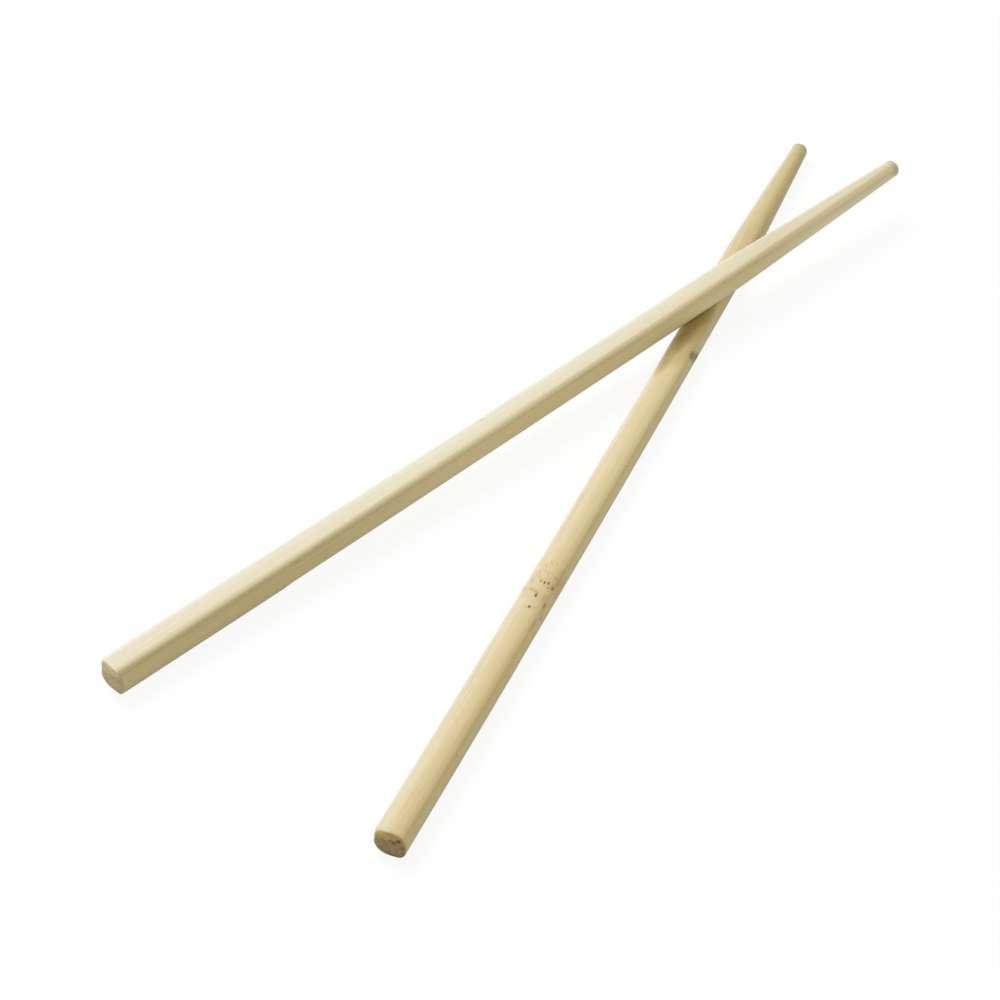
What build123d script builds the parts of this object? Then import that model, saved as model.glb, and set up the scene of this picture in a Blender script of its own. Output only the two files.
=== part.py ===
from build123d import *
import math
import os

# A pair of bamboo chopsticks, in millimetres, lying as they come to rest: the lower one flat
# on the table and the upper one with its heel on the table and its point laid across it.
# Each is one stick of bamboo: a square handle with crowned faces and rounded edges that narrows
# gently, then a point that narrows faster and turns from square to round. Y runs along the
# lower one, towards its tip.

# Upper chopstick: flat sawn tip with its rim rounded off.
upper_length = 230.0
upper_butt_width = 7.55
upper_shoulder_width = 6.03
upper_tip_width = 3.72
upper_point_length = 50.0
upper_face_radius = 20.0
upper_butt_edge_radius = 2.0
upper_shoulder_edge_radius = 1.4
upper_heel_extra_radius = 0.9
upper_tip_flat = 0.35
upper_butt_rounding = 0.5
upper_tip_rounding = 1.0
upper_bow = 0.55

# Lower chopstick: tip worn to a dome.
lower_length = 230.0
lower_butt_width = 7.65
lower_shoulder_width = 6.05
lower_tip_width = 3.52
lower_point_length = 38.0
lower_face_radius = 14.0
lower_butt_edge_radius = 2.0
lower_shoulder_edge_radius = 1.4
lower_heel_extra_radius = 0.5
lower_tip_flat = 0.3
lower_butt_rounding = 0.5
lower_tip_rounding = 1.5
lower_bow = 0.67

# How the pair lies: where the sticks cross, measured from each butt, and how the upper one
# is turned and rolled. The planed depth is what the table side of the lower one is dressed by.
upper_crossing_distance = 172.2
lower_crossing_distance = 173.0
crossing_angle_deg = 25.4
upper_roll_deg = 6.0
resting_clearance = 0.02
planed_depth = 0.1

# Stations of the sections, as shares of the handle's and of the point's length.
handle_station_shares = (0.0, 0.25, 0.5, 0.75, 1.0)
point_station_shares = (0.0, 0.33, 0.67, 1.0)

# Long edges of a stick seen from its butt, as signs of the side and up directions, and the
# faces that follow each of them.
long_edge_signs = ((1, 1), (-1, 1), (-1, -1), (1, -1))
face_signs = ((0, 1), (-1, 0), (0, -1), (1, 0))


def width_at(station, length, point_length, butt_width, shoulder_width, tip_width):
    """Width between opposite faces at a distance from the butt."""
    handle_length = length - point_length
    if station <= handle_length:
        return butt_width + (shoulder_width - butt_width) * station / handle_length
    along_point = (station - handle_length) / point_length
    return shoulder_width + (tip_width - shoulder_width) * along_point


def edge_radius_at(station, length, point_length, butt_radius, shoulder_radius, tip_radius):
    """Radius of a long edge: it shrinks along the handle and grows to nearly round at the tip."""
    along_handle = min(1.0, station / (length - point_length))
    along_point = max(0.0, (station - length + point_length) / point_length)
    handle_radius = butt_radius + (shoulder_radius - butt_radius) * along_handle
    return handle_radius + (tip_radius - handle_radius) * along_point


def section(width, face_radius, edge_radii, sideways, station):
    """Square with crowned sides and four rounded corners, standing across the stick."""
    inward = width / 2 - face_radius
    sharp = (inward + math.sqrt(2 * face_radius ** 2 - inward ** 2)) / 2
    corners = [(side * sharp, up * sharp) for side, up in long_edge_signs]
    middles = [(side * width / 2, up * width / 2) for side, up in face_signs]
    outline = make_face([ThreePointArc(corners[at - 1], middles[at - 1], corners[at])
                         for at in range(len(corners))])
    for place, radius in zip(corners, edge_radii):
        outline = fillet(outline.vertices().sort_by_distance(place)[0], radius)
    return Plane.XZ.offset(-station) * Pos(sideways, 0) * outline


def stick(length, butt_width, shoulder_width, tip_width, point_length, face_radius,
          butt_edge_radius, shoulder_edge_radius, heel_extra_radius, tip_flat,
          butt_rounding, tip_rounding, bow):
    """One chopstick along Y from its butt, bowed sideways, with both ends rounded off."""
    tip_radius = (tip_width - tip_flat) / 2
    extra_radii = (0.0, 0.0, heel_extra_radius, 0.0)
    handle_length = length - point_length

    def section_at(station):
        width = width_at(station, length, point_length, butt_width, shoulder_width, tip_width)
        radii = [edge_radius_at(station, length, point_length, butt_edge_radius + extra,
                                shoulder_edge_radius + extra, tip_radius)
                 for extra in extra_radii]
        sideways = 4 * bow * (station / length) * (1 - station / length)
        return section(width, face_radius, radii, sideways, station)

    handle = loft([section_at(share * handle_length) for share in handle_station_shares])
    point = loft([section_at(handle_length + share * point_length)
                  for share in point_station_shares])
    body = handle + point
    body = fillet(body.faces().sort_by(Axis.Y)[0].edges(), butt_rounding)
    return fillet(body.faces().sort_by(Axis.Y)[-1].edges(), tip_rounding)


def reach_down(width, face_radius, edge_radius, roll_deg):
    """How far a rolled section reaches below its own centre, down to its heel edge."""
    roll = math.radians(roll_deg)
    swing = math.acos((face_radius - width / 2)
                      / ((face_radius - edge_radius) * math.sqrt(2))) - math.pi / 4
    edge_middle = (face_radius - edge_radius) * math.sin(swing)
    return edge_middle * (math.cos(roll) + math.sin(roll)) + edge_radius


def lower_chopstick():
    """Lies on the table on one of its faces, dressed flat, which the taper tips a little."""
    body = stick(lower_length, lower_butt_width, lower_shoulder_width, lower_tip_width,
                 lower_point_length, lower_face_radius, lower_butt_edge_radius,
                 lower_shoulder_edge_radius, lower_heel_extra_radius, lower_tip_flat,
                 lower_butt_rounding, lower_tip_rounding, lower_bow)
    drop = (lower_butt_width - lower_shoulder_width) / 2
    lean = math.degrees(math.atan2(drop, lower_length - lower_point_length))
    body = Rot(X=-lean) * Pos(0, 0, lower_butt_width / 2) * body
    return split(Pos(0, 0, -planed_depth) * body, bisect_by=Plane.XY, keep=Keep.TOP)


def upper_reach_at(station):
    """How far the upper stick, rolled as it lies, reaches down at a distance from its butt."""
    width = width_at(station, upper_length, upper_point_length,
                     upper_butt_width, upper_shoulder_width, upper_tip_width)
    heel_radius = edge_radius_at(
        station, upper_length, upper_point_length,
        upper_butt_edge_radius + upper_heel_extra_radius,
        upper_shoulder_edge_radius + upper_heel_extra_radius, (upper_tip_width - upper_tip_flat) / 2)
    return reach_down(width, upper_face_radius, heel_radius, upper_roll_deg)


def upper_chopstick():
    """Heel on the table, underside on the top of the lower one."""
    body = stick(upper_length, upper_butt_width, upper_shoulder_width, upper_tip_width,
                 upper_point_length, upper_face_radius, upper_butt_edge_radius,
                 upper_shoulder_edge_radius, upper_heel_extra_radius, upper_tip_flat,
                 upper_butt_rounding, upper_tip_rounding, upper_bow)
    lower_width = width_at(lower_crossing_distance, lower_length, lower_point_length,
                           lower_butt_width, lower_shoulder_width, lower_tip_width)
    butt_height = upper_reach_at(0.0)
    crossing_height = (lower_width - planed_depth + resting_clearance
                       + upper_reach_at(upper_crossing_distance))
    tilt = math.degrees(math.asin((crossing_height - butt_height) / upper_crossing_distance))
    body = Pos(0, 0, butt_height) * Rot(X=tilt) * Rot(Y=-upper_roll_deg) * body
    body = Pos(0, lower_crossing_distance) * Rot(Z=-crossing_angle_deg) * (
        Pos(0, -upper_crossing_distance) * body)
    return body


def pair():
    """Both sticks on the table, Z = 0, with the origin under the middle of their common box."""
    nodes = {"lower_chopstick": lower_chopstick(), "upper_chopstick": upper_chopstick()}
    middle = Compound(list(nodes.values())).bounding_box().center()
    return {name: Pos(-middle.X, -middle.Y) * shape for name, shape in nodes.items()}


os.makedirs("parts", exist_ok=True)
for name, shape in pair().items():
    export_step(shape, f"parts/{name}.step")
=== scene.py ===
import math
from types import SimpleNamespace

import bpy
from mathutils import Matrix, Vector


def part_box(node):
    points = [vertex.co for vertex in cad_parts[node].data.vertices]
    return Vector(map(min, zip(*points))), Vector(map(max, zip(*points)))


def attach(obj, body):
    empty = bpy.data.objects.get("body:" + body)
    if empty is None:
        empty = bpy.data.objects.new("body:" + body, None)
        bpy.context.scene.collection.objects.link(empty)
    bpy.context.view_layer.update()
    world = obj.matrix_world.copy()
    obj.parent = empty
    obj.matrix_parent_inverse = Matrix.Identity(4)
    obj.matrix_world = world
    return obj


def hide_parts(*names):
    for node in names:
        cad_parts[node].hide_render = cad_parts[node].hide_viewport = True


# The finish of a pair of bamboo chopsticks, one laid across the other. Lengths are in metres.
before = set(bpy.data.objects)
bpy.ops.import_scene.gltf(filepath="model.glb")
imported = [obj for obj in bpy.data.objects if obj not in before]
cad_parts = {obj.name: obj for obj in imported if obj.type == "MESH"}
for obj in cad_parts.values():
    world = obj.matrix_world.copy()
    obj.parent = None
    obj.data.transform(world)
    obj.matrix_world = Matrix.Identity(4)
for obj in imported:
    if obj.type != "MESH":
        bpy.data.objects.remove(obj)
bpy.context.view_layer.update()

MM = 0.001

# Each stick has its own frame: Y runs from the middle of its butt to its tip, X to its right.
# Widths go across the faces, and tip_flat is what is left flat on each face at the tip. The heel
# is the lower left edge and the keel the lower right one. heel_extra adds to the heel's radius, and
# heel_worn does so close to the butt. keel_near adds to the keel's radius up to keel_from, and
# keel_far past keel_to. worn_rim is how much more the butt's rim is rounded at its top left.
LOWER = SimpleNamespace(
    node="lower_chopstick",
    slot="lower_bamboo",
    length=230.0 * MM,
    butt_width=7.65 * MM,
    shoulder_width=6.05 * MM,
    tip_width=3.52 * MM,
    point_length=38.0 * MM,
    butt_edge_radius=2.0 * MM,
    shoulder_edge_radius=1.4 * MM,
    heel_extra=0.5 * MM,
    heel_worn=1.1 * MM,
    keel_near=0.0 * MM,
    keel_far=0.35 * MM,
    keel_from=55.0 * MM,
    keel_to=65.0 * MM,
    tip_flat=0.3 * MM,
    butt_rounding=0.5 * MM,
    worn_rim=1.7,
    tip_rounding=1.5 * MM,
    bow=0.67 * MM,
    face_radius=14.0 * MM,
    seed=3.0,
)
UPPER = SimpleNamespace(
    node="upper_chopstick",
    slot="upper_bamboo",
    length=230.0 * MM,
    butt_width=7.55 * MM,
    shoulder_width=6.03 * MM,
    tip_width=3.72 * MM,
    point_length=50.0 * MM,
    butt_edge_radius=2.0 * MM,
    shoulder_edge_radius=1.4 * MM,
    heel_extra=0.9 * MM,
    heel_worn=0.0 * MM,
    keel_near=-0.4 * MM,
    keel_far=0.1 * MM,
    keel_from=45.0 * MM,
    keel_to=48.0 * MM,
    tip_flat=0.35 * MM,
    butt_rounding=0.5 * MM,
    worn_rim=2.0,
    tip_rounding=1.0 * MM,
    bow=0.55 * MM,
    face_radius=20.0 * MM,
    seed=8.0,
)

# How the pair lies. The upper stick stands on its heel and rests on the lower one.
UPPER_CROSSING = 172.2 * MM
LOWER_CROSSING = 173.0 * MM
CROSSING_ANGLE = math.radians(25.4)
UPPER_ROLL = math.radians(6.0)
RESTING_CLEARANCE = 0.02 * MM
PLANED_DEPTH = 0.1 * MM


class Field:
    """A value that nodes work out, so that a tree reads as formulas."""

    def __init__(self, tree, socket):
        self.tree = tree
        self.socket = socket

    def math(self, operation, *others):
        """What a Math node makes of this value and the others."""
        return node(self.tree, "ShaderNodeMath", enumerate((self, *others)), operation=operation)

    def __add__(self, other):
        return self.math("ADD", other)

    def __sub__(self, other):
        return self.math("SUBTRACT", other)

    def __mul__(self, other):
        return self.math("MULTIPLY", other)

    def __truediv__(self, other):
        return self.math("DIVIDE", other)

    def __rsub__(self, other):
        return self * -1 + other

    __radd__ = __add__
    __rmul__ = __mul__

    def clamp(self):
        return node(self.tree, "ShaderNodeClamp", {0: self})

    def cos(self):
        return self.math("COSINE")

    def sin(self):
        return self.math("SINE")

    def floor(self):
        return self.math("FLOOR")

    def smooth(self, start, end):
        """A soft step from 0 at start to 1 at end, where either may be the higher."""
        return node(self.tree, "ShaderNodeMapRange", {0: self, 1: start, 2: end},
                    interpolation_type="SMOOTHSTEP")


def feed(tree, value, socket):
    """A worked-out value is linked to the socket, and a plain one is written on it."""
    if isinstance(value, Field):
        tree.links.new(value.socket, socket)
    else:
        socket.default_value = value


def node(tree, kind, values=(), out=0, **settings):
    """Adds one node with its values by socket, and returns the output that is asked for."""
    made = tree.nodes.new(kind)
    for name, setting in settings.items():
        setattr(made, name, setting)
    for place, value in dict(values).items():
        feed(tree, value, made.inputs[place])
    return Field(tree, made.outputs[out])


def separate(place):
    """The three parts of a vector."""
    made = place.tree.nodes.new("ShaderNodeSeparateXYZ")
    feed(place.tree, place, made.inputs[0])
    return [Field(place.tree, socket) for socket in made.outputs]


def combine(tree, x, y, z):
    """One vector from its three parts."""
    return node(tree, "ShaderNodeCombineXYZ", {0: x, 1: y, 2: z})


def vector(operation, first, second, out=0):
    """What a Vector Math node makes of two vectors."""
    return node(first.tree, "ShaderNodeVectorMath", {0: first, 1: second}, out=out,
                operation=operation)


def noise(place, stretch, seed, detail=2.0):
    """Noise from 0 to 1 that varies stretch times in each unit of the place."""
    return node(place.tree, "ShaderNodeTexNoise",
                {"Vector": vector("MULTIPLY", place, stretch), "W": seed, "Scale": 1.0,
                 "Detail": detail, "Roughness": 0.5}, noise_dimensions="4D")


# The body of a stick: Geometry Nodes sweep a rounded square along a line of stations. Columns and
# octants are counted from the middle of the right face, over the top. Octants 4 and 5 meet at the
# heel, and octants 6 and 7 at the keel.
COLUMNS = 144
OCTANTS = 8
TOP_LEFT_COLUMN = COLUMNS * 3 / 8
HEEL_OCTANTS = 4.5
KEEL_OCTANTS = 6.5
OCTANT_REACH = 0.6
# The share of an octant's columns that lie on its face. The others go round its edge.
FACE_SHARE = 0.6
# What the tree takes from a stick's sizes.
BODY_SIZES = ("length", "butt_width", "shoulder_width", "tip_width", "point_length",
              "butt_edge_radius", "shoulder_edge_radius", "heel_extra", "heel_worn", "tip_flat",
              "bow", "face_radius", "butt_rounding", "worn_rim", "keel_near", "keel_far",
              "keel_from", "keel_to", "seed")
STATION_SPACING = 0.8 * MM
RIM_STEPS = 8
END_STEPS = 6
MERGE_DISTANCE = 0.001 * MM
# How deep the relief is, and how often it changes per metre across, along and up the stick.
FIBRE_DEPTH = 0.02 * MM
FIBRE_STRETCH = (1.4 / MM, 0.03 / MM, 1.4 / MM)
WAVE_DEPTH = 0.04 * MM
WAVE_STRETCH = (0.12 / MM, 0.05 / MM, 0.12 / MM)
# How far from the butt its wear has faded out.
RIM_FADE = 8.0 * MM
HEEL_FADE = 9.0 * MM


def stations(stick):
    """From the middle of the butt, round its rim, along the side and round the tip to its middle.

    Each is (spread, station, inset): how much of the section there is, how far along the stick
    it is, and how far inside the full section a rim has come.
    """
    points = [(step / END_STEPS, 0.0, stick.butt_rounding) for step in range(END_STEPS)]
    for step in range(RIM_STEPS):
        angle = math.pi / 2 * step / RIM_STEPS
        rounding = stick.butt_rounding
        points.append((1.0, rounding * (1 - math.cos(angle)), rounding * (1 - math.sin(angle))))
    tip = stick.length - FIBRE_DEPTH
    first = stick.butt_rounding
    last = tip - stick.tip_rounding
    rows = round((last - first) / STATION_SPACING)
    points += [(1.0, first + (last - first) * row / rows, 0.0) for row in range(rows)]
    for step in range(RIM_STEPS + 1):
        angle = math.pi / 2 * step / RIM_STEPS
        rounding = stick.tip_rounding
        points.append((1.0, last + rounding * math.sin(angle), rounding * (1 - math.cos(angle))))
    points += [(1 - (step + 1) / END_STEPS, tip, stick.tip_rounding)
               for step in range(END_STEPS)]
    return points


def line_object(name, points):
    """An object whose mesh is one line through the points."""
    mesh = bpy.data.meshes.new(name)
    mesh.from_pydata(points, [(i, i + 1) for i in range(len(points) - 1)], [])
    made = bpy.data.objects.new(name, mesh)
    bpy.context.scene.collection.objects.link(made)
    return made


def section_formula(tree, size, column, station, inset, spread):
    """Where the surface lies, from the column round the section and the station along it.

    The rim of the butt is rounded most at its top left, and its heel corner is worn too.
    """
    from_top_left = (column - TOP_LEFT_COLUMN) * (2 * math.pi / COLUMNS)
    extra = size["worn_rim"] * from_top_left.cos().math("MAXIMUM", 0.0)
    at_butt = 1 - station.smooth(size["butt_rounding"], RIM_FADE)
    inset = inset * (1 + extra * at_butt)
    station = station + extra * at_butt * station.math("MINIMUM", size["butt_rounding"])
    handle_length = size["length"] - size["point_length"]
    on_handle = (station / handle_length).clamp()
    on_point = ((station - handle_length) / size["point_length"]).clamp()
    half = (size["butt_width"] + (size["shoulder_width"] - size["butt_width"]) * on_handle
            + (size["tip_width"] - size["shoulder_width"]) * on_point) * 0.5

    # An octant lies between the middle of a face and the middle of an edge, by turns each way.
    octant = (column * (OCTANTS / COLUMNS)).floor()
    share = column * (OCTANTS / COLUMNS) - octant
    odd = octant - (octant * 0.5).floor() * 2
    quarter = (octant + odd) * 0.5
    from_face = share + odd * (1 - 2 * share)
    at_heel = octant.math("COMPARE", HEEL_OCTANTS, OCTANT_REACH)
    at_keel = octant.math("COMPARE", KEEL_OCTANTS, OCTANT_REACH)
    keel_extra = (size["keel_near"] + (size["keel_far"] - size["keel_near"])
                  * station.smooth(size["keel_from"], size["keel_to"]))

    heel_extra = size["heel_extra"] + size["heel_worn"] * station.smooth(HEEL_FADE, 0.0)
    handle_radius = (size["butt_edge_radius"] + heel_extra * at_heel + keel_extra * at_keel
                     + (size["shoulder_edge_radius"] - size["butt_edge_radius"]) * on_handle)
    tip_radius = (size["tip_width"] - size["tip_flat"]) * 0.5
    corner = handle_radius + (tip_radius - handle_radius) * on_point
    face = size["face_radius"]
    swing = ((face - half) / ((face - corner) * math.sqrt(2))).math("ARCCOSINE") - math.pi / 4

    # The crowned face turns by swing, and the edge by the rest of an eighth turn.
    on_face = swing * (from_face / FACE_SHARE).clamp()
    on_edge = ((from_face - FACE_SHARE) / (1 - FACE_SHARE)).clamp()
    turned = on_face + (math.pi / 4 - swing) * on_edge
    out = half - face + (face - corner) * on_face.cos() + corner * turned.cos()
    along = (face - corner) * on_face.sin() + corner * turned.sin()

    side = 1 - 2 * odd
    facing = quarter * (math.pi / 2)
    normal_x = facing.cos() * turned.cos() - facing.sin() * turned.sin() * side
    normal_z = facing.sin() * turned.cos() + facing.cos() * turned.sin() * side
    flat_x = facing.cos() * out - facing.sin() * along * side
    flat_z = facing.sin() * out + facing.cos() * along * side

    shape = combine(tree, flat_x, station, flat_z)
    fibres = noise(shape, FIBRE_STRETCH, size["seed"])
    waves = noise(shape, WAVE_STRETCH, size["seed"] * 2)
    depth = inset + FIBRE_DEPTH * fibres + WAVE_DEPTH * waves
    along_share = station / size["length"]
    bowed = size["bow"] * 4 * along_share * (1 - along_share)
    return combine(tree, bowed + spread * (flat_x - depth * normal_x), station,
                   spread * (flat_z - depth * normal_z))


def captured(tree, geometry, kind, value):
    """Keeps a value on the points as they are now, and returns the geometry and the value."""
    made = tree.nodes.new("GeometryNodeCaptureAttribute")
    made.capture_items.new(kind, "kept")
    feed(tree, geometry, made.inputs[0])
    feed(tree, value, made.inputs[1])
    return Field(tree, made.outputs[0]), Field(tree, made.outputs[1])


def body_tree():
    """Takes a line of stations and gives back one closed, smooth stick."""
    tree = bpy.data.node_groups.new("chopstick_body", "GeometryNodeTree")
    tree.interface.new_socket("Stations", in_out="INPUT", socket_type="NodeSocketGeometry")
    for name in BODY_SIZES:
        tree.interface.new_socket(name, in_out="INPUT", socket_type="NodeSocketFloat")
    tree.interface.new_socket("finish", in_out="INPUT", socket_type="NodeSocketMaterial")
    tree.interface.new_socket("Body", in_out="OUTPUT", socket_type="NodeSocketGeometry")
    given = tree.nodes.new("NodeGroupInput")
    size = {name: Field(tree, given.outputs[name]) for name in BODY_SIZES}

    line = node(tree, "GeometryNodeMeshToCurve", {0: Field(tree, given.outputs["Stations"])})
    ring = node(tree, "GeometryNodeCurvePrimitiveCircle", {"Resolution": COLUMNS})
    line, place = captured(tree, line, "VECTOR", node(tree, "GeometryNodeInputPosition"))
    ring, column = captured(tree, ring, "FLOAT", node(tree, "GeometryNodeInputIndex"))
    skin = node(tree, "GeometryNodeCurveToMesh", {"Curve": line, "Profile Curve": ring})
    spread, station, inset = separate(place)
    position = section_formula(tree, size, column, station, inset, spread)
    skin = node(tree, "GeometryNodeSetPosition", {"Geometry": skin, "Position": position})
    skin = node(tree, "GeometryNodeMergeByDistance", {"Geometry": skin, "Distance": MERGE_DISTANCE})
    skin = node(tree, "GeometryNodeFlipFaces", {"Mesh": skin})
    skin = node(tree, "GeometryNodeSetShadeSmooth", {"Geometry": skin})
    skin = node(tree, "GeometryNodeRealizeInstances", {"Geometry": skin})
    skin = node(tree, "GeometryNodeSetMaterial",
                {"Geometry": skin, "Material": Field(tree, given.outputs["finish"])})
    output = tree.nodes.new("NodeGroupOutput")
    feed(tree, skin, output.inputs[0])
    return tree


def plain_mesh(holder, tree, inputs):
    """The result of a Geometry Nodes tree on an object, as a mesh of its own."""
    modifier = holder.modifiers.new("shape", "NODES")
    modifier.node_group = tree
    for item in tree.interface.items_tree:
        if item.item_type == "SOCKET" and item.in_out == "INPUT" and item.name in inputs:
            modifier[item.identifier] = inputs[item.name]
    holder.update_tag()
    graph = bpy.context.evaluated_depsgraph_get()
    mesh = bpy.data.meshes.new_from_object(holder.evaluated_get(graph), depsgraph=graph)
    bpy.data.objects.remove(holder)
    return mesh


def width_at(stick, station):
    """Width of the handle across its faces at a distance from the butt."""
    handle_length = stick.length - stick.point_length
    return stick.butt_width + (stick.shoulder_width - stick.butt_width) * station / handle_length


def reach_down(stick, station):
    """How far the rolled handle reaches below its own centre, down to its heel edge."""
    half = width_at(stick, station) / 2
    on_handle = station / (stick.length - stick.point_length)
    edge = (stick.butt_edge_radius + stick.heel_extra
            + (stick.shoulder_edge_radius - stick.butt_edge_radius) * on_handle)
    face = stick.face_radius
    swing = math.acos((face - half) / ((face - edge) * math.sqrt(2))) - math.pi / 4
    edge_middle = (face - edge) * math.sin(swing)
    return edge_middle * (math.cos(UPPER_ROLL) + math.sin(UPPER_ROLL)) + edge


def lower_butt():
    """The middle of the lower stick's butt on the table, from the frame."""
    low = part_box(LOWER.node)[0]
    return Vector((low.x + LOWER.butt_width / 2, low.y, 0))


def lower_place():
    """On its lower face, sunk by as much as is planed off there."""
    drop = (LOWER.butt_width - LOWER.shoulder_width) / 2
    lean = math.atan2(drop, LOWER.length - LOWER.point_length)
    return (Matrix.Translation(lower_butt() - Vector((0, 0, PLANED_DEPTH)))
            @ Matrix.Rotation(-lean, 4, "X") @ Matrix.Translation((0, 0, LOWER.butt_width / 2)))


def upper_place():
    """Rolled on to its heel, and tilted just enough to clear the lower stick."""
    butt_height = reach_down(UPPER, 0.0)
    crossing_height = (width_at(LOWER, LOWER_CROSSING) - PLANED_DEPTH + RESTING_CLEARANCE
                       + reach_down(UPPER, UPPER_CROSSING))
    tilt = math.asin((crossing_height - butt_height) / UPPER_CROSSING)
    return (Matrix.Translation(lower_butt() + Vector((0, LOWER_CROSSING, 0)))
            @ Matrix.Rotation(-CROSSING_ANGLE, 4, "Z")
            @ Matrix.Translation((0, -UPPER_CROSSING, butt_height))
            @ Matrix.Rotation(tilt, 4, "X") @ Matrix.Rotation(-UPPER_ROLL, 4, "Y"))


def chopstick(stick, place, tree, material):
    """One finished chopstick, where its CAD node lies, planed flat where it meets the table."""
    inputs = {name: getattr(stick, name) for name in BODY_SIZES}
    inputs["finish"] = material
    mesh = plain_mesh(line_object(stick.node + "_line", stations(stick)), tree, inputs)
    mesh.transform(place)
    for vertex in mesh.vertices:
        vertex.co.z = max(vertex.co.z, 0.0)
    mesh.name = stick.node + "_bamboo"
    piece = bpy.data.objects.new(mesh.name, mesh)
    bpy.context.scene.collection.objects.link(piece)
    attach(piece, "root")
    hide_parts(stick.node)


# Materials. A layer of the grain is noise that varies stretch times per millimetre across, along
# and up the stick, and it comes in between the two values of the noise that shows gives.
TONES = SimpleNamespace(stretch=(0.3, 0.014, 0.3), seed=1, detail=2.0, shows=(0.42, 0.62))
PATCHES = SimpleNamespace(stretch=(0.5, 0.05, 0.5), seed=2, detail=3.0, shows=(0.5, 0.72))
STREAKS = SimpleNamespace(stretch=(1.5, 0.025, 1.5), seed=3, detail=3.0, shows=(0.46, 0.74))
FIBRES = SimpleNamespace(stretch=(6.0, 0.05, 6.0), seed=4, detail=3.0, shows=(0.4, 0.8))
DASHES = SimpleNamespace(stretch=(4.5, 0.4, 4.5), seed=5, detail=2.0, shows=(0.56, 0.7))
SCAR_DASHES = SimpleNamespace(stretch=(3.2, 0.5, 3.2), seed=6, detail=1.0, shows=(0.5, 0.62))
END_CLOUDS = SimpleNamespace(stretch=(0.7, 0.1, 0.7), seed=1, detail=3.0, shows=(0.35, 0.7))
END_STREAKS = SimpleNamespace(stretch=(1.6, 0.1, 0.45), seed=2, detail=2.0, shows=(0.44, 0.6))
TONE_STRENGTH = 0.75
PATCH_STRENGTH = 0.6
SCAR_DASH_STRENGTH = 0.6
END_CLOUD_STRENGTH = 0.5
END_STREAK_STRENGTH = 0.6

# Where the colour of the butt turns into that of the tip, and where the right side's comes in.
TOWARDS_TIP = (100.0, 228.0)
# The right side's darker, warmer colour is partly the bamboo's own and partly painted shade.
TOWARDS_RIGHT = (-2.8, 2.2)

# Marks get uneven edges from a shift of their places.
SHIFT_FINENESS = 2.2
SHIFT = 0.5
# A spot is full out to the first share of its reach, and gone at the second.
SPOT_EDGE = (0.35, 1.15)

# The sawn butt: bundles of fibres cut across, with a paler and uneven band along its top.
BUNDLE_EDGE = (0.16, 0.42)
BUNDLES_IN_BAND = 0.3
BAND_SLANT = 0.25
BAND_UNEVENNESS = 2.4
BAND_EDGE = (2.8, 1.7)

# The scar, in millimetres past the joint: a tan zone with slanted dashes, and a brown ring.
SCAR_START = (2.0, 3.6)
SCAR_END = (11.5, 7.0)
SCAR_STRENGTH = 0.5
DASH_SLANT = 0.3
DASH_HEIGHT = 3.4
DASH_REACH = (0.3, 0.75, 0.9)
RING_BENDS_FROM = 1.0
RING_BEND = 1.1
RING_UNEVENNESS = 2.0
RING_EDGE = (1.2, 0.2)
RING_SHOWS = (0.4, 0.6)
RING_STRENGTH = 0.4

# How far a surface faces the ends where it is the sawn end or its rim, and where the rim lies.
END_FACING = (0.62, 0.82)
RIM_FACING = (0.12, 0.5)
# The top of the rim is paler: partly wear, partly a painted highlight.
RIM_LENGTH = (2.0, 3.0)
RIM_HEIGHT = (1.8, 2.8)

# Where the wear of the tip comes in, how much sooner it does so at the sides, and its strength.
WORN_TIP = (227.6, 229.6)
WORN_SIDES = 0.6
WORN_STRENGTH = 0.5

# The relief that only the light shows, and the roughness.
DASH_PIT = 0.25
SCAR_PIT = 0.5
FIBRE_RELIEF = 0.6
STREAK_RELIEF = 0.6
BUMP_STRENGTH = 0.6
BUMP_HEIGHT = 0.03 * MM
ROUGHNESS = 0.48
FIBRE_ROUGHNESS = 0.14
END_ROUGHNESS = 0.2

# The Mix node has these sockets for colours.
FIRST_COLOUR = 6
SECOND_COLOUR = 7
MIXED_COLOUR = 2


def new_material(name):
    """An empty material and its node tree."""
    material = bpy.data.materials.new(name)
    material.use_nodes = True
    tree = material.node_tree
    tree.nodes.clear()
    return material, tree


def mix(share, first, second, **settings):
    """The first colour, with a share of the second laid over it."""
    return node(share.tree, "ShaderNodeMix",
                {0: share, FIRST_COLOUR: first, SECOND_COLOUR: second}, out=MIXED_COLOUR,
                data_type="RGBA", **settings)


def straightened(tree, stick, place):
    """Millimetres in the stick's own frame, with its bow taken out."""
    within = node(tree, "ShaderNodeMapping", {
        "Vector": node(tree, "ShaderNodeTexCoord", out="Object"),
        "Location": place.translation, "Rotation": place.to_euler("XYZ"), "Scale": (MM, MM, MM)},
        vector_type="TEXTURE")
    x, y, z = separate(within)
    along = y / (stick.length / MM)
    return combine(tree, x - along * (1 - along) * (4 * stick.bow / MM), y, z)


def facing_along(tree, place, axis):
    """How far the surface faces along an axis of the stick, from -1 to 1."""
    normal = node(tree, "ShaderNodeTexCoord", out="Normal")
    return vector("DOT_PRODUCT", normal, place.to_3x3() @ Vector(axis), out="Value")


def layer(place, kind, seed):
    """The noise of one layer of the grain."""
    return noise(place, kind.stretch, seed + kind.seed, kind.detail)


def shifted(place):
    """The place, moved a little to and fro."""
    wander = node(place.tree, "ShaderNodeTexNoise",
                  {"Vector": place, "Scale": SHIFT_FINENESS, "Detail": 2.0}, out="Color")
    wander = vector("SUBTRACT", wander, (0.5, 0.5, 0.5))
    return vector("ADD", place, vector("MULTIPLY", wander, (SHIFT, SHIFT, SHIFT)))


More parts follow.
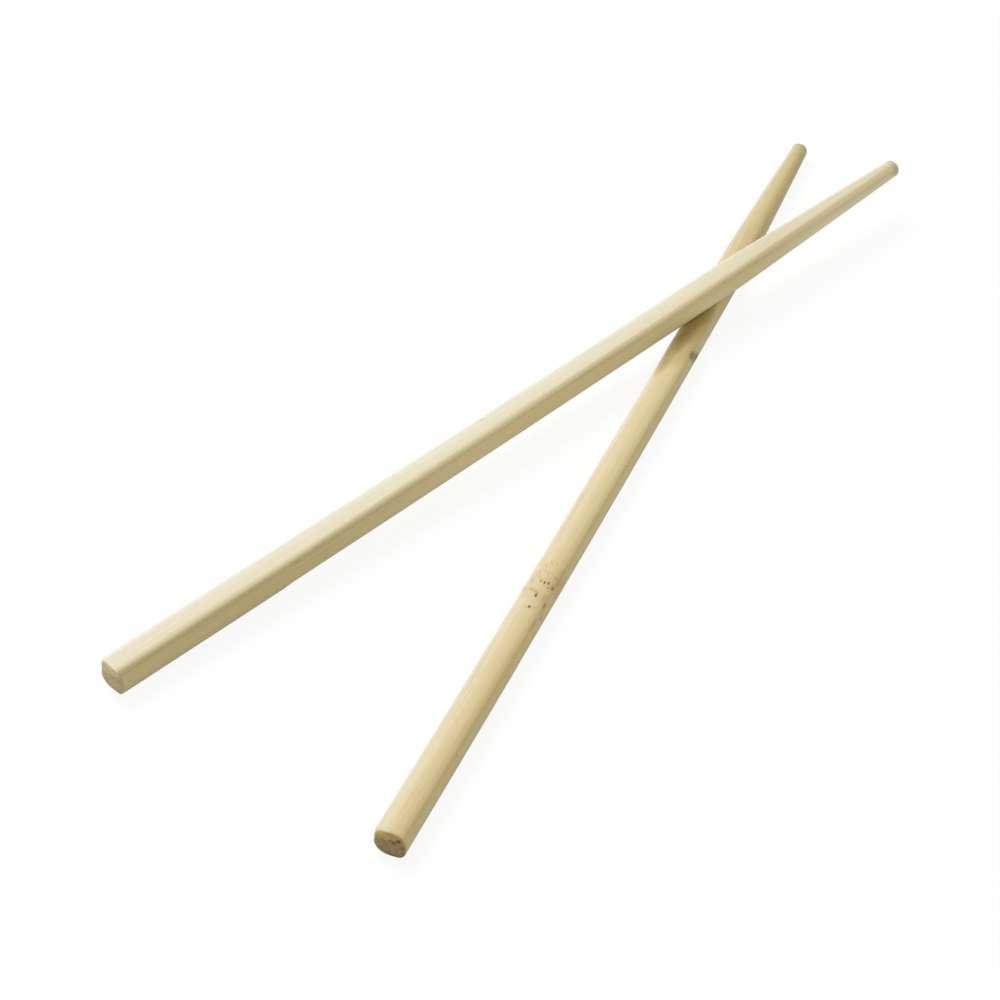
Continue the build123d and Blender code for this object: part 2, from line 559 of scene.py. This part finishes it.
def spot(place, centre, reach):
    """1 at the centre and 0 outside an ellipsoid with about those half widths."""
    offset = vector("DIVIDE", vector("SUBTRACT", place, centre), reach)
    return 1 - node(place.tree, "ShaderNodeVectorMath", {0: offset}, out="Value",
                    operation="LENGTH").smooth(*SPOT_EDGE)


def marked(colour, place, marks):
    """Lays each mark's tone over the bamboo."""
    for centre, reach, tone, strength in marks:
        colour = mix(spot(place, centre, reach) * strength, colour, tone)
    return colour


def end_grain(tree, grain, look, seed):
    """The sawn end, seen along the fibres."""
    x, _, z = separate(grain)
    distance = node(tree, "ShaderNodeTexVoronoi",
                    {"Vector": combine(tree, x, z, 0.0), "Scale": look.bundles},
                    voronoi_dimensions="2D")
    bundle = 1 - distance.smooth(*BUNDLE_EDGE)
    clouds = layer(grain, END_CLOUDS, seed)
    streaks = layer(grain, END_STREAKS, seed).smooth(*END_STREAKS.shows)
    below_band = (z - x * BAND_SLANT + clouds * BAND_UNEVENNESS).smooth(*BAND_EDGE)
    bundles_here = BUNDLES_IN_BAND + below_band * (1 - BUNDLES_IN_BAND)
    colour = mix(below_band, look.end_top_tone, look.end_tone)
    colour = mix(clouds.smooth(*END_CLOUDS.shows) * END_CLOUD_STRENGTH, colour, look.end_shade)
    colour = mix(streaks * below_band * END_STREAK_STRENGTH, colour, look.end_streak)
    colour = mix(bundle * bundles_here * look.bundle_strength, colour, look.bundle_tone)
    return marked(colour, grain, look.end_marks)


def joint_scar(colour, grain, patches, look, seed):
    """Lays the scar of the joint over the colour, and returns its dashes too."""
    x, y, z = separate(grain)
    past = y - look.joint
    zone = past.smooth(*SCAR_START) * past.smooth(*SCAR_END)
    slanted = combine(grain.tree, x + past * DASH_SLANT, y, z)
    dashes = zone * layer(slanted, SCAR_DASHES, seed).smooth(*SCAR_DASHES.shows)
    dashes = dashes * SCAR_DASH_STRENGTH
    for across, along in look.dash_places:
        centre = (across + (along - look.joint) * DASH_SLANT, along, DASH_HEIGHT)
        dashes = dashes.math("MAXIMUM", spot(slanted, centre, DASH_REACH))
    bend = (x - RING_BENDS_FROM).math("MAXIMUM", 0.0) * RING_BEND
    from_ring = past + bend + patches * RING_UNEVENNESS - RING_UNEVENNESS / 2
    ring = from_ring.math("ABSOLUTE").smooth(*RING_EDGE) * patches.smooth(*RING_SHOWS)
    colour = mix(zone * SCAR_STRENGTH, colour, look.joint_tone)
    colour = mix(dashes * SCAR_DASH_STRENGTH, colour, look.dash_tone)
    return mix(ring * RING_STRENGTH, colour, CINNAMON), dashes


def bamboo(stick, look, place):
    """The material of one stick: grain first, then scar, painted light and shade, marks and ends.
    """
    material, tree = new_material(stick.slot)
    grain = straightened(tree, stick, place)
    x, y, z = separate(grain)
    seed = stick.seed

    tones = layer(grain, TONES, seed)
    patches = layer(grain, PATCHES, seed)
    streaks = layer(grain, STREAKS, seed)
    fibres = layer(grain, FIBRES, seed)
    dashes = layer(grain, DASHES, seed).smooth(*DASHES.shows)
    colour = mix(y.smooth(*TOWARDS_TIP), look.butt_tone, look.tip_tone)
    colour = mix(tones.smooth(*TONES.shows) * TONE_STRENGTH, colour, look.rose_tone)
    colour = mix(patches.smooth(*PATCHES.shows) * PATCH_STRENGTH, colour, look.moss_tone)
    colour = mix(streaks.smooth(*STREAKS.shows) * look.streak_strength, colour, look.streak_tone)
    colour = mix(fibres.smooth(*FIBRES.shows) * look.fibre_strength, colour, look.fibre_tone)
    colour = mix(dashes * look.dash_strength, colour, look.fibre_tone)
    pits = dashes * DASH_PIT
    if look.joint:
        colour, scar = joint_scar(colour, grain, patches, look, seed)
        pits = pits + scar * SCAR_PIT
    # The right side: partly its own darker, warmer colour, partly painted shade.
    colour = mix(x.smooth(*TOWARDS_RIGHT) * look.right_strength, colour, look.right_tone)

    # Painted light and shade: the colour is made lighter or darker by which way the surface faces.
    sideways = facing_along(tree, place, (1, 0, 0))
    for turn, along, height, tint in look.tints:
        share = sideways.smooth(*turn) * y.smooth(*along) * z.smooth(*height)
        colour = mix(share, colour, tint, blend_type="MULTIPLY")
    uneven = shifted(grain)
    colour = marked(colour, uneven, look.marks)

    endways = facing_along(tree, place, (0, 1, 0)).math("ABSOLUTE")
    at_end = endways.smooth(*END_FACING)
    on_rim = endways.smooth(*RIM_FACING) * (1 - y.smooth(*RIM_LENGTH)) * z.smooth(*RIM_HEIGHT)
    worn = (y + sideways.math("ABSOLUTE") * WORN_SIDES).smooth(*WORN_TIP)
    # A paler top to the butt's rim: partly wear, partly a painted highlight.
    colour = mix(on_rim * x.smooth(*look.rim_reach), colour, look.rim_tone)
    colour = mix(at_end, colour, end_grain(tree, grain, look, seed))
    colour = mix(worn * WORN_STRENGTH, colour, look.worn_tone)

    for centre, reach, depth in look.pits:
        pits = pits + spot(uneven, centre, reach) * depth
    height = fibres * FIBRE_RELIEF + streaks * STREAK_RELIEF - pits
    bump = node(tree, "ShaderNodeBump",
                {"Strength": BUMP_STRENGTH, "Distance": BUMP_HEIGHT, "Height": height})
    roughness = ROUGHNESS + FIBRE_ROUGHNESS * fibres + END_ROUGHNESS * at_end
    surface = node(tree, "ShaderNodeBsdfPrincipled",
                   {"Base Color": colour, "Roughness": roughness, "Normal": bump})
    output = tree.nodes.new("ShaderNodeOutputMaterial")
    feed(tree, surface, output.inputs["Surface"])
    return material


# How each stick looks. Tones are surface colours, and places are millimetres in its own frame.
# A mark is its centre, its reach each way, its tone and its strength. A pit has a depth instead.
DARK = (0.07, 0.045, 0.008, 1.0)
BROWN = (0.15, 0.085, 0.018, 1.0)
CINNAMON = (0.50, 0.29, 0.11, 1.0)
TAN = (0.64, 0.46, 0.21, 1.0)
GREY = (0.33, 0.31, 0.21, 1.0)
OLIVE = (0.12, 0.105, 0.055, 1.0)
STAIN = (0.155, 0.088, 0.02, 1.0)
UMBER = (0.41, 0.29, 0.09, 1.0)
SHADED = (0.48, 0.32, 0.03, 1.0)
DUSKY = (0.42, 0.32, 0.22, 1.0)
HONEY = (0.84, 0.64, 0.31, 1.0)
PEACH = (0.93, 0.70, 0.46, 1.0)
PALE = (0.84, 0.75, 0.52, 1.0)
WHITE = (0.9, 0.88, 0.8, 1.0)

# Each tint paints light and shade by which way the surface faces: faces lighter or darker, and a
# painted sheen along the left edge. One on each stick only darkens the tone towards the point.
# A tint comes in between two values of how far the surface faces right, between two places along
# the stick and between two heights. ALL lies below every real value, so it limits nothing.
ALL = (-20.0, -10.0)

UPPER_LOOK = SimpleNamespace(
    butt_tone=(0.84, 0.795, 0.57, 1.0),
    tip_tone=(0.755, 0.68, 0.455, 1.0),
    rose_tone=(0.845, 0.745, 0.55, 1.0),
    moss_tone=(0.80, 0.775, 0.505, 1.0),
    streak_tone=(0.69, 0.61, 0.39, 1.0),
    fibre_tone=(0.66, 0.56, 0.34, 1.0),
    streak_strength=0.4,
    fibre_strength=0.35,
    dash_strength=0.12,
    joint=None,
    rim_tone=(1.0, 0.93, 0.70, 1.0),
    rim_reach=(2.6, 1.2),
    right_strength=0.1,
    right_tone=(0.80, 0.74, 0.52, 1.0),
    tints=(
        ((0.05, -0.35), ALL, ALL, (1.05, 1.12, 1.40, 1.0)),
        ((-0.55, -0.85), ALL, ALL, (0.95, 0.885, 0.71, 1.0)),
        ((-0.05, 0.2), ALL, ALL, (0.99, 0.925, 0.835, 1.0)),
        ((0.4, 0.75), (110.0, 50.0), ALL, (0.905, 0.87, 0.69, 1.0)),
        ((0.4, 0.75), (50.0, 110.0), ALL, (1.07, 1.055, 0.90, 1.0)),
        ((0.92, 1.0), ALL, ALL, (1.015, 1.07, 1.16, 1.0)),
        ((0.5, 0.8), ALL, (-1.0, -2.2), (0.91, 0.95, 1.12, 1.0)),
        ((0.7, 0.85), (135.0, 155.0), ALL, (1.04, 1.05, 1.07, 1.0)),
        (ALL, (165.0, 200.0), ALL, (0.94, 0.94, 0.88, 1.0)),
        ((0.5, 0.7), (178.0, 198.0), ALL, (1.02, 1.045, 1.20, 1.0)),
        ((0.3, 0.95), (180.0, 215.0), ALL, (1.23, 1.25, 1.40, 1.0)),
        ((0.88, 1.0), (180.0, 215.0), ALL, (0.89, 0.915, 0.92, 1.0)),
    ),
    bundle_strength=0.6,
    bundles=1.9,
    bundle_tone=(0.42, 0.33, 0.19, 1.0),
    end_tone=(0.68, 0.58, 0.40, 1.0),
    end_top_tone=(0.84, 0.72, 0.50, 1.0),
    end_shade=(0.52, 0.44, 0.30, 1.0),
    end_streak=(0.56, 0.48, 0.32, 1.0),
    worn_tone=(0.45, 0.41, 0.29, 1.0),
    end_marks=(
        ((-1.5, 0.0, 2.2), (0.45, 1.0, 0.45), PALE, 0.6),
        ((-1.8, 0.0, 0.8), (0.45, 1.0, 0.5), PALE, 0.6),
        ((-0.3, 0.0, 1.2), (0.4, 1.0, 0.5), PALE, 0.5),
        ((0.7, 0.0, 2.6), (0.4, 1.0, 0.7), PALE, 0.6),
        ((0.3, 0.0, -1.1), (0.4, 1.0, 0.9), PALE, 0.35),
        ((0.4, 0.0, 1.5), (0.4, 1.0, 0.6), UMBER, 0.4),
        ((1.0, 0.0, 0.3), (0.7, 1.0, 0.9), GREY, 0.4),
        ((2.7, 0.0, 1.1), (1.1, 1.0, 1.2), GREY, 0.35),
        ((2.7, 0.0, -2.6), (1.0, 1.0, 0.8), GREY, 0.45),
    ),
    marks=(
        ((3.6, 0.2, 0.0), (0.8, 0.9, 3.2), GREY, 0.4),
        ((-1.47, 106.45, 3.2), (0.25, 0.8, 1.0), GREY, 0.45),
        ((2.25, 89.7, 3.1), (0.3, 0.7, 0.8), WHITE, 0.6),
    ),
    pits=(),
)

# Part of the shade under the crossing, where the lamps alone leave the lower stick too pale.
CROSSING_SHADE = (
    ((-0.1, 165.5, 3.0), (2.4, 8.5, 3.2), SHADED, 0.75),
    ((0.4, 157.0, 3.1), (3.2, 8.0, 2.2), UMBER, 0.55),
    ((-1.1, 153.5, 3.1), (1.3, 7.5, 1.2), UMBER, 0.75),
    ((-1.9, 150.5, 2.9), (0.9, 6.0, 1.3), UMBER, 0.6),
    ((-0.5, 158.0, 3.1), (1.2, 4.5, 1.2), SHADED, 0.5),
    ((-0.2, 158.0, 3.2), (1.3, 4.5, 1.2), BROWN, 0.35),
    ((1.1, 160.5, 3.2), (1.2, 3.5, 1.2), BROWN, 0.25),
    ((2.3, 165.5, 2.8), (1.2, 7.5, 1.4), SHADED, 0.45),
)

# The scar of the joint: its tan ground, dark dots, broken ring and right side.
SCAR_GROUND = (
    ((1.6, 77.0, 3.2), (1.7, 6.0, 1.4), TAN, 0.3),
    ((-1.7, 75.5, 3.3), (1.2, 4.5, 1.0), TAN, 0.25),
    ((-1.70, 71.7, 3.4), (1.0, 1.3, 0.8), PEACH, 0.5),
    ((2.40, 78.3, 3.1), (1.2, 1.6, 1.0), TAN, 0.55),
)
SCAR_DOTS = (
    ((-0.15, 78.55, 3.4), (0.33, 0.55, 0.8), BROWN, 0.6),
    ((0.77, 78.45, 3.4), (0.33, 0.6, 0.8), BROWN, 0.9),
    ((1.62, 78.65, 3.3), (0.33, 0.6, 0.8), BROWN, 0.9),
    ((1.98, 77.45, 3.3), (0.33, 0.5, 0.8), BROWN, 0.5),
    ((2.81, 78.0, 2.9), (0.45, 0.6, 0.6), BROWN, 0.6),
    ((-1.07, 79.7, 3.4), (0.45, 0.6, 0.8), CINNAMON, 0.45),
    ((-1.93, 78.1, 3.3), (0.4, 0.7, 0.8), GREY, 0.5),
    ((0.58, 74.3, 3.4), (0.33, 0.75, 0.8), DARK, 0.95),
    ((0.60, 70.7, 3.4), (0.42, 0.5, 0.8), DARK, 0.9),
    ((-0.11, 70.3, 3.4), (0.8, 0.4, 0.8), CINNAMON, 0.35),
    ((1.53, 70.7, 3.3), (0.4, 0.4, 0.8), GREY, 0.4),
)
SCAR_RING = (
    ((-1.33, 75.65, 3.4), (0.4, 0.3, 0.8), CINNAMON, 0.6),
    ((-0.55, 75.45, 3.4), (1.3, 0.45, 0.8), CINNAMON, 0.25),
    ((0.25, 75.3, 3.4), (0.35, 0.25, 0.8), CINNAMON, 0.8),
)
SCAR_RIGHT_SIDE = (
    ((3.00, 80.4, 2.5), (0.9, 1.7, 1.1), TAN, 0.6),
    ((2.50, 80.9, 3.1), (0.5, 0.6, 0.6), CINNAMON, 0.5),
    ((3.45, 81.0, 0.6), (0.9, 4.5, 2.2), TAN, 0.45),
    ((2.97, 83.1, 2.7), (0.7, 1.7, 0.9), TAN, 0.45),
    ((2.40, 74.2, 3.0), (0.8, 1.7, 1.0), TAN, 0.55),
    ((3.13, 73.0, 2.5), (0.4, 1.0, 0.8), CINNAMON, 0.8),
    ((3.45, 70.8, 1.1), (0.8, 0.9, 1.1), GREY, 0.55),
    ((3.18, 67.1, 2.5), (0.6, 2.2, 0.9), TAN, 0.5),
)

# The bruise on the right edge, short of the crossing.
BRUISE = (
    ((2.85, 155.9, 1.9), (0.9, 1.5, 1.3), OLIVE, 0.6),
    ((3.10, 156.4, 0.2), (0.7, 1.6, 1.9), GREY, 0.5),
    ((3.05, 156.9, 1.0), (0.8, 1.5, 1.3), OLIVE, 0.45),
    ((3.10, 158.2, -0.7), (0.8, 1.4, 1.7), OLIVE, 0.85),
)

LOWER_LOOK = SimpleNamespace(
    butt_tone=(0.905, 0.76, 0.475, 1.0),
    tip_tone=(0.825, 0.705, 0.415, 1.0),
    rose_tone=(0.885, 0.72, 0.445, 1.0),
    moss_tone=(0.825, 0.73, 0.405, 1.0),
    streak_tone=(0.64, 0.495, 0.25, 1.0),
    fibre_tone=(0.55, 0.40, 0.19, 1.0),
    streak_strength=0.45,
    fibre_strength=0.35,
    dash_strength=0.25,
    joint=75.6,
    dash_places=((-0.5, 81.8), (0.45, 81.3), (1.35, 81.4), (1.75, 83.2), (0.2, 84.0), (-0.9, 83.2),
                 (1.15, 84.5), (-0.25, 84.6), (2.0, 80.3), (-1.3, 80.9)),
    joint_tone=(0.87, 0.69, 0.42, 1.0),
    dash_tone=(0.54, 0.39, 0.18, 1.0),
    rim_tone=(1.0, 0.88, 0.58, 1.0),
    rim_reach=(0.6, -1.0),
    right_strength=0.7,
    right_tone=(0.68, 0.545, 0.245, 1.0),
    tints=(
        ((-0.05, -0.3), ALL, ALL, (0.925, 0.985, 1.11, 1.0)),
        ((-0.35, -0.7), ALL, ALL, (1.06, 1.145, 1.43, 1.0)),
        ((-0.65, -0.9), ALL, ALL, (1.0, 0.89, 0.65, 1.0)),
        ((0.2, 0.65), ALL, ALL, (1.14, 1.16, 1.13, 1.0)),
        ((0.75, 1.0), ALL, ALL, (0.925, 0.96, 0.99, 1.0)),
        ((0.5, 0.8), ALL, (0.8, -0.8), (0.93, 0.955, 1.06, 1.0)),
        ((0.0, 0.3), (110.0, 60.0), ALL, (0.985, 0.95, 0.91, 1.0)),
        (ALL, (165.0, 195.0), ALL, (0.90, 0.90, 0.88, 1.0)),
        ((0.2, 0.65), (170.0, 195.0), ALL, (0.925, 0.95, 1.01, 1.0)),
        ((-0.1, 0.15), (170.0, 195.0), ALL, (0.905, 0.87, 0.81, 1.0)),
        ((0.6, 0.9), (170.0, 195.0), ALL, (1.08, 1.10, 1.24, 1.0)),
    ),
    bundle_strength=0.45,
    bundles=2.0,
    bundle_tone=(0.23, 0.165, 0.075, 1.0),
    end_tone=(0.44, 0.34, 0.18, 1.0),
    end_top_tone=(0.62, 0.43, 0.165, 1.0),
    end_shade=(0.30, 0.24, 0.13, 1.0),
    end_streak=(0.26, 0.20, 0.10, 1.0),
    worn_tone=(0.45, 0.40, 0.27, 1.0),
    end_marks=(
        ((2.3, 0.0, 2.1), (0.8, 1.0, 0.7), STAIN, 0.9),
        ((1.2, 0.0, 1.5), (1.5, 1.0, 0.5), STAIN, 0.5),
        ((1.1, 0.0, 0.9), (0.7, 1.0, 0.5), STAIN, 0.8),
        ((3.2, 0.0, 0.3), (0.6, 1.0, 0.5), STAIN, 0.75),
        ((0.2, 0.0, 1.4), (0.5, 1.0, 0.35), STAIN, 0.6),
        ((-1.4, 0.0, 0.9), (1.0, 1.0, 0.3), STAIN, 0.6),
        ((0.7, 0.0, -0.7), (0.3, 1.0, 0.4), PALE, 0.22),
        ((0.9, 0.0, -2.5), (0.3, 1.0, 0.4), PALE, 0.22),
        ((-3.3, 0.0, -0.6), (0.8, 1.0, 2.0), DUSKY, 0.5),
        ((-2.6, 0.0, 3.0), (2.6, 1.0, 1.3), HONEY, 0.7),
    ),
    marks=(
        ((3.7, 0.3, -0.8), (0.8, 1.0, 3.0), UMBER, 0.7),
        *CROSSING_SHADE,
        *SCAR_GROUND,
        *SCAR_DOTS,
        *SCAR_RING,
        *SCAR_RIGHT_SIDE,
        *BRUISE,
    ),
    pits=(
        ((0.55, 74.4, 3.4), (0.4, 0.8, 0.8), 5.0),
        ((0.60, 70.7, 3.4), (0.42, 0.5, 0.8), 4.0),
        ((3.10, 158.6, -0.6), (0.8, 1.1, 1.6), 4.0),
    ),
)


# The studio. The floor and the world show as white, while the floor gives the sticks a warm light.
FLOOR_SIZE = 8.0
FLOOR_LEVEL = -0.01 * MM
FLOOR_COLOUR = (0.10, 0.10, 0.10, 1.0)
FLOOR_GLOW = 0.91
FLOOR_BOUNCE = (0.95, 0.85, 0.64, 1.0)
WORLD_LIGHT = 0.36
KEY_POWER = 28.4
KEY_DISTANCE = 2.0
KEY_SIZE = 1.0
KEY_AZIMUTH = math.radians(235)
KEY_ELEVATION = math.radians(55)
CAMERA_TARGET = Vector((5.77 * MM, -12.64 * MM, 0.0))
CAMERA_AZIMUTH = math.radians(23.38)
CAMERA_ELEVATION = math.radians(47.75)
CAMERA_ROLL = math.radians(0.764)
CAMERA_DISTANCE = 1492.0 * MM
CAMERA_LENS = 242.9
CAMERA_SENSOR = 36.0


def direction(azimuth, elevation):
    """The way from the sticks out to a lamp or camera. Azimuth 0 is in front, at -Y."""
    return Vector((math.sin(azimuth) * math.cos(elevation),
                   -math.cos(azimuth) * math.cos(elevation), math.sin(elevation)))


def place_looking(made, location, target):
    """Puts a lamp or camera at a place, turned towards its target."""
    made.location = location
    made.rotation_euler = (target - location).to_track_quat("-Z", "Y").to_euler()
    bpy.context.scene.collection.objects.link(made)


def shown_to_viewer(tree):
    """1 where the ground is seen, straight on or in a reflection, and 0 where it gives light."""
    path = tree.nodes.new("ShaderNodeLightPath")
    camera_ray, glossy_ray, transmission_ray = (
        Field(tree, path.outputs[name])
        for name in ("Is Camera Ray", "Is Glossy Ray", "Is Transmission Ray"))
    return (camera_ray + glossy_ray + transmission_ray).clamp()


def studio_floor():
    """A plain pale floor, a hair below the sticks."""
    mesh = bpy.data.meshes.new("floor")
    reach = FLOOR_SIZE / 2
    corners = [(-reach, -reach), (reach, -reach), (reach, reach), (-reach, reach)]
    mesh.from_pydata([(x, y, FLOOR_LEVEL) for x, y in corners], [], [(0, 1, 2, 3)])
    material, tree = new_material("pale_floor")
    seen = shown_to_viewer(tree)
    bouncing = node(tree, "ShaderNodeBsdfDiffuse", {"Color": FLOOR_BOUNCE})
    matt = node(tree, "ShaderNodeBsdfDiffuse", {"Color": FLOOR_COLOUR})
    glow = node(tree, "ShaderNodeEmission", {"Strength": FLOOR_GLOW})
    shown = node(tree, "ShaderNodeAddShader", {0: matt, 1: glow})
    lit = node(tree, "ShaderNodeMixShader", {0: seen, 1: bouncing, 2: shown})
    output = tree.nodes.new("ShaderNodeOutputMaterial")
    feed(tree, lit, output.inputs["Surface"])
    mesh.materials.append(material)
    floor = bpy.data.objects.new("floor", mesh)
    bpy.context.scene.collection.objects.link(floor)


def studio_world():
    """White where it is seen, and a soft light from all round."""
    world = bpy.data.worlds.new("studio")
    world.use_nodes = True
    tree = world.node_tree
    tree.nodes.clear()
    strength = WORLD_LIGHT + shown_to_viewer(tree) * (1 - WORLD_LIGHT)
    light = node(tree, "ShaderNodeBackground",
                 {"Color": (1.0, 1.0, 1.0, 1.0), "Strength": strength})
    output = tree.nodes.new("ShaderNodeOutputWorld")
    feed(tree, light, output.inputs["Surface"])
    bpy.context.scene.world = world


def key_light():
    """One soft lamp, beyond the sticks and to their left as the camera sees them."""
    data = bpy.data.lights.new("softbox", "AREA")
    data.shape = "SQUARE"
    data.size = KEY_SIZE
    data.energy = KEY_POWER
    lamp = bpy.data.objects.new("softbox", data)
    place_looking(lamp, direction(KEY_AZIMUTH, KEY_ELEVATION) * KEY_DISTANCE, Vector())


def camera():
    """The view of the photograph."""
    data = bpy.data.cameras.new("photo_view")
    data.lens = CAMERA_LENS
    data.sensor_width = CAMERA_SENSOR
    seen_from = bpy.data.objects.new("photo_view", data)
    away = direction(CAMERA_AZIMUTH, CAMERA_ELEVATION) * CAMERA_DISTANCE
    place_looking(seen_from, CAMERA_TARGET + away, CAMERA_TARGET)
    seen_from.rotation_euler.rotate_axis("Z", CAMERA_ROLL)
    bpy.context.scene.camera = seen_from


body = body_tree()
for stick, look, place in ((LOWER, LOWER_LOOK, lower_place()), (UPPER, UPPER_LOOK, upper_place())):
    chopstick(stick, place, body, bamboo(stick, look, place))
studio_floor()
studio_world()
key_light()
camera()
bpy.context.scene.view_settings.view_transform = "Standard"
